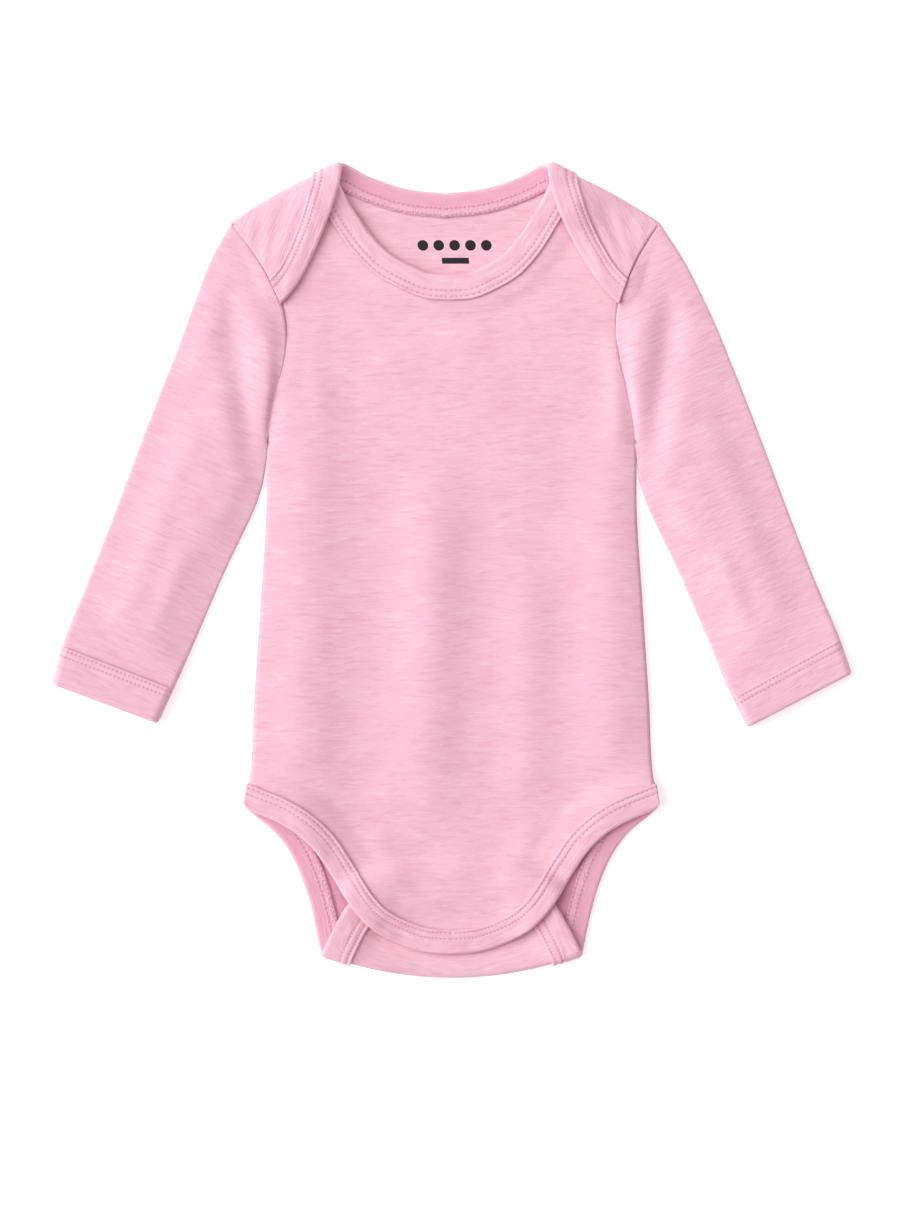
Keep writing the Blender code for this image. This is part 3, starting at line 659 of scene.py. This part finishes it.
def lap_patch(fold, neck_line, arm_tip, lap_corner):
    """Rows of the pattern along a fold, from the neck edge to the armhole edge, out to the lap's corner,
    closer together at the fold."""
    neck_t, neck_past = fold.split(neck_line)
    arm_t, arm_past = fold.split(fold.unfold(lap_corner))
    share = np.linspace(0, 1, LAP_CELLS[0] + 1)
    past = min(neck_past.max(), arm_past[0]) * (0.55 * share + 0.45 * share ** 2)
    order = np.argsort(neck_past)
    near = np.interp(past, neck_past[order], neck_t[order])
    order = np.argsort(arm_past)
    far = np.where(past < arm_past.min(), arm_tip, np.interp(past, arm_past[order], arm_t[order]))
    t = near[:, None] + (far - near)[:, None] * np.linspace(0, 1, LAP_CELLS[1] + 1)
    return fold.point(t, past[:, None])


right_fold = shoulders[1]
inner_neck_half = neck_half + RAW_EDGE * right_normal(neck_half)
inner_leg_half = leg_half + RAW_EDGE * right_normal(leg_half)
before_fold = inner_neck_half[right_fold.split(inner_neck_half)[1] < 0]
neck_corner_t = right_fold.split(before_fold[-1])[0]
arm_before = armhole[right_fold.split(armhole)[1] < 0]
tip_t = right_fold.split(arm_before[0])[0]
fold_start = right_fold.point(np.linspace(neck_corner_t, tip_t, FOLD_POINTS), 0)
leg_before = inner_leg_half[crotch.split(inner_leg_half)[1] < 0]
leg_corner_t = crotch.split(leg_before[-1])[0]
middle_t = crotch.length / 2
crotch_start = crotch.point(np.linspace(middle_t, leg_corner_t, FOLD_POINTS), 0)
top = np.concatenate([before_fold, fold_start[1:]])
outer = np.concatenate([fold_start[-1:], arm_before[1:], side_line[1:-2], leg_before[3:]])
body = coons(resample(top, 1.0), crotch_start, np.array((top[0], crotch_start[0])),
             resample(outer, 1.0), int(HALF_WIDTH / GRID), int(BACK_LENGTH / GRID))
lap_corner = armhole[armhole[:, 1] > ARMHOLE[4][1]][::-1]
lap = lap_patch(right_fold, inner_neck_half[len(before_fold) - 2:], tip_t, lap_corner)
after = inner_leg_half[crotch.split(inner_leg_half)[1] >= 0]
share = np.linspace(0, 1, FLAP_CELLS[0] + 1)
depth = 0.35 * share + 0.65 * share ** 1.6      # rows closer together at the fold
flap_side = at(np.concatenate([crotch_start[-1:], after]), lengths(after)[-1] * depth)
flap_centre = crotch.point(middle_t, crotch.split(after[-1])[1] * depth)
across = np.linspace(0, 1, FLAP_CELLS[1] + 1)[None, :, None]
flap = flap_centre[:, None] * (1 - across) + flap_side[:, None] * across
base_curve = crotch.point(middle_t + (leg_corner_t - middle_t) * across[0, :, 0], 0)
chord = flap_centre[0] + (flap_side[0] - flap_centre[0]) * across[0]
bow = np.clip(1 - share * 1.6, 0, 1)            # the fold's curve fades out towards the flap's edge
flap = flap + (base_curve - chord)[None] * bow[:, None, None]
body[:, 0, 0] = flap[:, 0, 0] = 0
patches = []
for side in (1, -1):
    for grid in (body, lap, flap):
        plan = grid * (side, 1)
        middle, _ = lay_back(plan)
        if grid is body:
            middle[..., 2] += edge_dip(grid, side_line, BACK_DIP)
        patches.append((middle, plan))
back = sew("back", patches, jersey("pink_jersey_back", decorate=neck_print_and_leg_shade))
pattern = np.concatenate([neck_half, right_fold.unfold(lap_corner), arm_before, side_line, leg_half])
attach(back, "root")
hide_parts("back_panel")


# ---------------- bindings
# Strips of the same jersey, folded over each cut edge and held by a twin-needle coverstitch: two rows of
# stitches on the right side, and a looped web of thread over the strip's edge on the wrong side.
STRIP_LIFT = 1.08       # middle of each side of the strip, from the middle of the panel
STRIP_CLOTH = JERSEY * 0.9
ROW_PLACES = (1.5, 4.2) # rows of stitches, from the strip's edge
WEB_ROWS = (0.8, 4.1)   # rows of loops, from the strip's other edge
WEB_WIDTH = 5.0
LIP = (0.5, 0.45, 0.20)         # place from the strip's edge, reach and height
PILLOW = (2.85, 0.8, 0.14)      # the same, between the rows
FURROW = (0.42, 0.12, 0.20)     # reach, least depth, and how much deeper at a stitch's end
RIPPLE = (7.5, 2.2)             # place and reach
CORNER = (1.3, 1.9)             # reach and share by which a strip's end is drawn in at its corner
END_RUN = 7.0                   # how much of a strip counts as its end
STITCH = 2.05           # length of one stitch
STITCH_REACH = 0.66     # how far a stitch's and a loop's shade spreads across the strip
LOOP_REACH = 0.7
SECTION = 0.66          # spacing of the strip's sections
FACE_POINTS = 26
THREAD = (0.68, 0.19, 0.34)
WEB_PIT = (0.68, 0.22, 0.37)
WEB_LIGHT = (0.93, 0.66, 0.76)


class Edge:
    """A bound edge in the pattern, travelled with the panel on its right: sections square to the edge,
    turned at the ends to run along the side seam or armhole."""

    def __init__(self, line, width, ends=(None, None)):
        run = lengths(line)
        self.width = width
        self.places = np.linspace(0, run[-1], int(run[-1] / SECTION))
        self.free = at(line, self.places)
        square = unit(at(line, self.places, right_normal(line)))
        aim = square.copy()
        for place, toward in zip((0, run[-1]), ends):
            if toward is not None:
                pull = smooth_step(1 - np.abs(self.places - place) / (2 * width))[:, None]
                aim = aim * (1 - pull) + unit(np.array(toward, float)) * pull
        self.aim = unit(aim)
        self.stretch = 1 / np.clip(np.sum(self.aim * square, axis=1), 0.45, None)

    def points(self, depth):
        """Pattern points at depths in from the free edge: one row for each section."""
        return self.free[:, None] + self.aim[:, None] * (depth[None, :, None] * self.stretch[:, None, None])


def strip_relief(places, back_from_edge):
    """Height on the strip's face by distance in from its edge: a lip at the edge, a furrow under each
    row of stitches that is deepest at every stitch's end, a low pillow between, and ripples beside them."""
    x = back_from_edge[None, :]
    beat = 0.5 + 0.5 * np.cos(2 * np.pi * places / STITCH)[:, None]
    rise = sum(height * bell(x - place, reach) for place, reach, height in (LIP, PILLOW))
    for row in ROW_PLACES:
        rise = rise - (FURROW[1] + FURROW[2] * beat) * bell(x - row, FURROW[0])
    wave = 0.07 * np.sin(places / 3.1)[:, None] + 0.05 * np.sin(places / 1.37 + 2)[:, None]
    return rise + wave * bell(x - RIPPLE[0], RIPPLE[1])


def strip_profile(width):
    """Depths and offsets round the folded strip, with the run along it from its outer edge."""
    r = STRIP_LIFT
    face = np.linspace(width, r, FACE_POINTS)
    turn = np.linspace(0, np.pi, 8)[1:-1]
    depth = np.concatenate([face, r - r * np.sin(turn), face[::-2]])
    offset = np.concatenate([np.full(FACE_POINTS, r), r * np.cos(turn), np.full(FACE_POINTS // 2, -r)])
    run = np.concatenate(([0], np.cumsum(np.hypot(np.diff(depth), np.diff(offset)))))
    return depth, offset, run


def bind(name, edge, place, node, proud=0.0):
    """Carry the folded strip along an edge; its cut cloth is mapped by place along and run across. Its
    ends can stand proud of the side seams, by a share of their distance from the centre line, and are
    drawn in again at the free edge."""
    depth, offset, run = strip_profile(edge.width)
    middle, outward = place(edge.points(depth))
    lift = np.tile(offset, (len(edge.places), 1))
    face = offset > STRIP_LIFT * 0.9
    lift[:, face] += strip_relief(edge.places, edge.width - depth[face])
    grid = middle + outward * lift[..., None]
    last = smooth_step(1 - np.minimum(edge.places, edge.places[-1] - edge.places) / END_RUN)[:, None]
    grid[..., 0] *= 1 + proud * last * (1 - CORNER[1] * bell(depth, CORNER[0]))
    cut = np.stack(np.broadcast_arrays(edge.places[:, None], run[None, :]), axis=-1)
    piece = sew(name, [(grid, cut)], binding_cloth(edge.width, run[-1]), STRIP_CLOTH)
    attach(piece, "root")
    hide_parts(node)


def seam_bell(tree, across, row, reach):
    """A bell across the strip: 1 on a row, falling to 0 at a reach on either side."""
    off = maths(tree, "DIVIDE", maths(tree, "SUBTRACT", across, row * MM), reach * MM)
    return maths(tree, "SUBTRACT", 1.0, times(tree, off, off), clamp=True)


cloths = {}


def binding_cloth(width, total):
    """Binding jersey, streaked along the strip, darker in the furrows, webbed on the wrong side."""
    key = round(width, 1)
    if key in cloths:
        return cloths[key]

    def seams(tree, spot, colour, height):
        """The stitches' pits, painted shade on the inner half, and the web with its loops."""
        part = wire(tree, "SeparateXYZ", {0: spot})
        along, across = part.outputs[0], part.outputs[1]
        beat = maths(tree, "COSINE", times(tree, along, 2 * np.pi / (STITCH * MM)))
        beat = maths(tree, "MULTIPLY_ADD", beat, 0.5, 0.5)
        dot = ramp(tree, beat, 0.35, 0.85, 0.18, 1.0)
        knot = maths(tree, "MULTIPLY_ADD", beat, 0.7, 0.3)
        pit = 0.0
        for row in ROW_PLACES:
            near = seam_bell(tree, across, row, STITCH_REACH)
            pit = maths(tree, "MAXIMUM", pit, times(tree, near, dot))
        loop = 0.0
        for row in WEB_ROWS:
            near = seam_bell(tree, across, total - row, LOOP_REACH)
            loop = maths(tree, "MAXIMUM", loop, times(tree, near, knot))
        # painted shade: the strip's inner half, past its fold, is darkened towards DEEP_PINK
        inner = ramp(tree, across, (width + 1.0) * MM, (width + 3.0) * MM)
        wrong = ramp(tree, across, (total - WEB_WIDTH) * MM, (total - WEB_WIDTH + 0.4) * MM)
        web = times(tree, wrong, streaks(tree, spot, 1250.0, 900.0, 2.0, 0.38, 0.62))
        for mask, share, tint in ((pit, 0.68, THREAD), (inner, 0.55, DEEP_PINK), (web, 0.60, WEB_LIGHT),
                                  (loop, 0.85, WEB_PIT)):
            colour = blend_colour(tree, times(tree, mask, share), colour, (*tint, 1))
        return colour, maths(tree, "MULTIPLY_ADD", web, 1.4, height)

    cloths[key] = jersey("pink_binding_%d" % round(width * 10), 1.15, decorate=seams)
    return cloths[key]


def lay_front(points):
    """The front lies right side up on its layer."""
    flat = points.reshape(-1, 2)
    middle = np.column_stack([flat, front_middle(flat)])
    outward = np.broadcast_to((0.0, 0.0, 1.0), points.shape[:-1] + (3,))
    return middle.reshape(outward.shape), outward


side_aim = np.array(SIDE[4]) - np.array(SIDE[5])
lap_seam = shoulders[1].unfold(np.array((ARMHOLE[4], ARMHOLE[3])))
lap_aim = lap_seam[1] - lap_seam[0]
lap_aims = (lap_aim * (-1, 1), lap_aim)
neck_edge = Edge(whole_line(neck_half), NECK_BAND, lap_aims)
side_aims = (side_aim, side_aim * (-1, 1))
leg_edge = Edge(np.concatenate([leg_half, mirrored(leg_half)[1:]]), LEG_BAND, side_aims)
front_neck_edge = Edge(whole_line(front_neck_half), NECK_BAND)
front_leg_edge = Edge(np.concatenate([front_leg_half, mirrored(front_leg_half)[1:]]), LEG_BAND, side_aims)
bind("back_neck_binding", neck_edge, lay_back, "neck_binding_back")
bind("back_leg_binding", leg_edge, lay_back, "leg_binding_back", proud=0.004)
bind("front_neck_binding", front_neck_edge, lay_front, "neck_binding_front")
bind("front_leg_binding", front_leg_edge, lay_front, "leg_binding_front", proud=0.010)


# ---------------- sleeves
# Each sleeve is one piece of jersey, closed under the arm to a tube and set into the armhole. Laid
# flat it has an upper and a lower layer and a soft fold down each side; its courses run across it.

# Sections, right side: outer fold x, y; inner fold x, y; share of the armhole's curve left; fold radius
# at the outer and inner side; height of the lower layer's middle.
SLEEVE = ((100.2, 161.9, 86.5, 58.6, 1.00, 1.4, 0.9, 0.45), (110.5, 144.5, 87.3, 49.0, 0.70, 1.2, 0.9, 0.45),
          (119.5, 124.2, 88.6, 39.5, 0.40, 1.0, 0.9, 0.45), (128.5, 101.5, 92.3, 28.0, 0.15, 1.0, 0.9, 0.45),
          (137.3, 79.4, 98.0, 15.5, 0.00, 1.0, 0.9, 0.45), (146.6, 55.0, 104.5, 2.0, 0.00, 1.0, 0.9, 0.45),
          (157.5, 26.0, 111.5, -14.0, 0.00, 1.0, 0.9, 0.45), (169.5, -4.7, 119.5, -33.0, 0.00, 1.2, 1.2, 0.7))
CUFF = {-1: (181.6, -35.4, 129.4, -55.6, 186.4, -52.8, 136.7, -71.3),
        1: (181.0, -32.0, 130.6, -59.4, 186.6, -47.8, 137.7, -73.2)}
CUFF_FOLD = 2.0
CUFF_LOW = 1.6          # middle of a cuff's lower layer
ARM_SEAM = -0.4         # the sleeve's edge reaches this far under the panels, as a seam allowance
TUCK = 0.65             # how far it turns in there
TUCK_RUN = 1.0          # and over what length
# Ridges on the upper layer, as on the front, for the right sleeve; the left has its mirror image.
SLEEVE_RIDGES = ((104, 128, 92, 48, 7, -2.8), (108, 128, 124, 88, 8, 1.0), (97, 48, 109, 20, 5, 0.6),
                 (118, 70, 138, 22, 7, 0.9), (136, 24, 152, -20, 7, 0.8), (98, 146, 112, 124, 5, 0.8),
                 (124, 8, 138, -26, 5, 0.8))
ARCH = (3.6, 1.8)       # how far the upper layer bulges in the middle, near the armhole and near the cuff
ARCH_OVER = 13.0        # how soon the bulge grows below the armhole
CALM_OVER = 18.0        # how soon the folds fade out above the cuff
CAP_RUN = 6.0           # the first rows, close together
CAP_ROWS = 15
SLEEVE_POINTS = 44      # points along each layer of a ring
TURN_POINTS = 7         # and round each of its folds
PLAN_POINTS = 240       # points along a ring's plan before it is spaced evenly


def ring(section, bow, lift, offset, reach, count):
    """A flattened ring: lower layer outer to inner side, half a turn, upper layer back, half a turn."""
    outer, inner = section[0:2], section[2:4]
    curve_left, r_out, r_in, low = section[4:8]
    share = np.linspace(0, 1, PLAN_POINTS)
    plan = outer + (inner - outer) * share[:, None] + curve_left * bow(share)
    total = lengths(plan)[-1]
    use = np.linspace(r_out + reach, total - r_in - reach, count)
    line = at(plan, use)
    part = (use - use[0]) / (use[-1] - use[0])
    rise = 2 * (r_out + (r_in - r_out) * part) + lift(line, part)
    lower = np.column_stack([line, np.full(count, low - offset)])
    upper = np.column_stack([line, low + rise + offset])
    turn = np.linspace(0, np.pi, TURN_POINTS + 2)[1:-1, None]
    ends = []
    for tip, before, r in ((line[-1], line[-2], r_in), (line[0], line[1], r_out)):
        away = unit(tip - before)
        ends.append(np.column_stack([tip + away * (r + offset) * np.sin(turn),
                                     low + r - (r + offset) * np.cos(turn)]))
    return np.concatenate([lower, ends[0], upper[::-1], ends[1][::-1]])


def arm_bow(share):
    """How far the armhole curves away from its chord, stood off by the seam."""
    run = share * lengths(armhole)[-1]
    line = at(armhole, run)
    chord = line[0] + (line[-1] - line[0]) * share[:, None]
    return line - chord - ARM_SEAM * unit(at(armhole, run, right_normal(armhole)))


def sleeve_lift(section, tuck, arch, calm):
    """Height of the upper layer over its plain height: it meets the front and laps at the armhole, and
    carries its own ridges farther down."""

    def lift(line, part):
        """Lift along a ring's line, part being the share of the way across."""
        low, r_out = section[7], section[5]
        on_lap = smooth_step((line[:, 1] - ARMHOLE[4][1] + 3) / 6)
        top = front_middle(line) * (1 - on_lap) + lap_middle(line) * on_lap
        meet = section[4] ** 2 * np.maximum(top - low - 2 * r_out, -0.2)
        own = ridges(line, SLEEVE_RIDGES) + undulate(line, height=0.6, seed=9)
        own = own + arch * np.sin(np.pi * part ** 1.5) ** 0.8
        fade = np.sin(np.pi * np.clip(part, 0, 1)) ** 0.5
        own = np.maximum(calm * own, -r_out)
        return (meet + own * (1 - 0.8 * section[4] ** 6)) * fade - 2 * tuck
    return lift


def no_bow(share):
    """No curve: a cuff's ring is straight."""
    return np.zeros((len(share), 2))


def cuff_section(side, share):
    """Section of the cuff at a share of the way from its free edge to its seam."""
    corner = np.array(CUFF[side], float)
    place = corner[4:8] + (corner[0:4] - corner[4:8]) * share
    return np.concatenate([place, (0.0, CUFF_FOLD, CUFF_FOLD, CUFF_LOW)])


def tube_cut(rings, along):
    """Places in the cut cloth of a tube: run round the ring, and run along the tube."""
    step = np.linalg.norm(np.diff(rings, axis=1), axis=2)
    across = np.concatenate([np.zeros((len(rings), 1)), np.cumsum(step, axis=1)], axis=1)
    return np.stack([across - across[:, -1:] / 2, np.broadcast_to(along[:, None], across.shape)], axis=-1)


def sleeve_cut(rings, across, down):
    """Places in the cut cloth of the sleeve: flat as laid, its lower layer opened out past the outer fold,
    so that the edges of the cut meet at the seam under the arm."""
    wide = rings[..., 0:2] @ across
    under = np.arange(rings.shape[1]) <= SLEEVE_POINTS + TURN_POINTS // 2
    wide = np.where(under, 2 * wide.max(axis=1, keepdims=True) - wide, wide)
    return np.stack([wide, rings[..., 0:2] @ down], axis=-1)


sleeve_cloth = jersey("pink_jersey_sleeve")
for side, word in ((-1, "left"), (1, "right")):
    depth = np.linalg.norm(np.array(CUFF[side][0:2]) - np.array(CUFF[side][4:6]))
    rows = np.array([*SLEEVE, cuff_section(side, 1.0), cuff_section(side, 2 * RAW_EDGE / depth)])
    middle_line = (rows[:, 0:2] + rows[:, 2:4]) / 2
    run = lengths(middle_line)
    along = np.concatenate([np.linspace(0, CAP_RUN, CAP_ROWS, endpoint=False),
                            np.linspace(CAP_RUN, run[-1], int(run[-1] / GRID))])
    sections = smooth_through(rows, run, along)
    sections[:, 4] = np.clip(sections[:, 4], 0, 1)
    sections[:, 7] = np.maximum(sections[:, 7], 0.4)    # the cubic can dip below its rows
    tucks = TUCK * (1 - smooth_step(along / TUCK_RUN))
    calm = smooth_step((run[-2] - CUFF_FOLD - along) / CALM_OVER)
    arches = smooth_step(along / ARCH_OVER) * (ARCH[0] + (ARCH[1] - ARCH[0]) * along / run[-1])
    sections[:, 7] += tucks
    rings = np.array([ring(row, arm_bow, sleeve_lift(row, tuck, arch, still), 0.0, JERSEY / 2, SLEEVE_POINTS)
                      for row, tuck, arch, still in zip(sections, tucks, arches, calm)])
    down = unit(middle_line[-1] - middle_line[0])
    cut = sleeve_cut(rings, np.array((-down[1], down[0])), down)
    sleeve = sew(word + "_sleeve", [(rings * (side, 1, 1), cut * (side, 1))], sleeve_cloth, closed=True)
    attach(sleeve, "root")
    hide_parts("sleeve_" + word)


# ---------------- cuffs
# Each cuff is a strip of jersey folded over the sleeve's end and coverstitched all round, a little
# wider than the sleeve, so that it stands slightly proud at its seam.
CUFF_POINTS = 130       # points along each layer of a ring

for side, word in ((-1, "left"), (1, "right")):
    depth = float(np.linalg.norm(np.array(CUFF[side][0:2]) - np.array(CUFF[side][4:6])))
    deep, offset, run = strip_profile(depth)
    rings = np.array([ring(cuff_section(side, place / depth), no_bow, lambda line, part: 0, lift, BAND_HALF,
                           CUFF_POINTS) for place, lift in zip(deep, offset)])
    cut = tube_cut(rings, run)
    round_run = cut[0, :, 0] - cut[0, 0, 0]
    face = offset > STRIP_LIFT * 0.9
    relief = np.zeros(rings.shape[:2])
    relief[face] = strip_relief(round_run, depth - deep[face]).T
    spot = np.arange(rings.shape[1])
    under = spot < CUFF_POINTS
    upper = (spot >= CUFF_POINTS + TURN_POINTS) & (spot < 2 * CUFF_POINTS + TURN_POINTS)
    rings[..., 2] += np.where(upper, relief, np.where(under, -relief / 2, 0))
    rings[..., 2] = np.maximum(rings[..., 2], JERSEY / 2)
    cuff = sew(word + "_cuff", [(rings * (side, 1, 1), cut)], binding_cloth(depth, run[-1]), STRIP_CLOTH,
               closed=True)
    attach(cuff, "root")
    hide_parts("cuff_" + word)
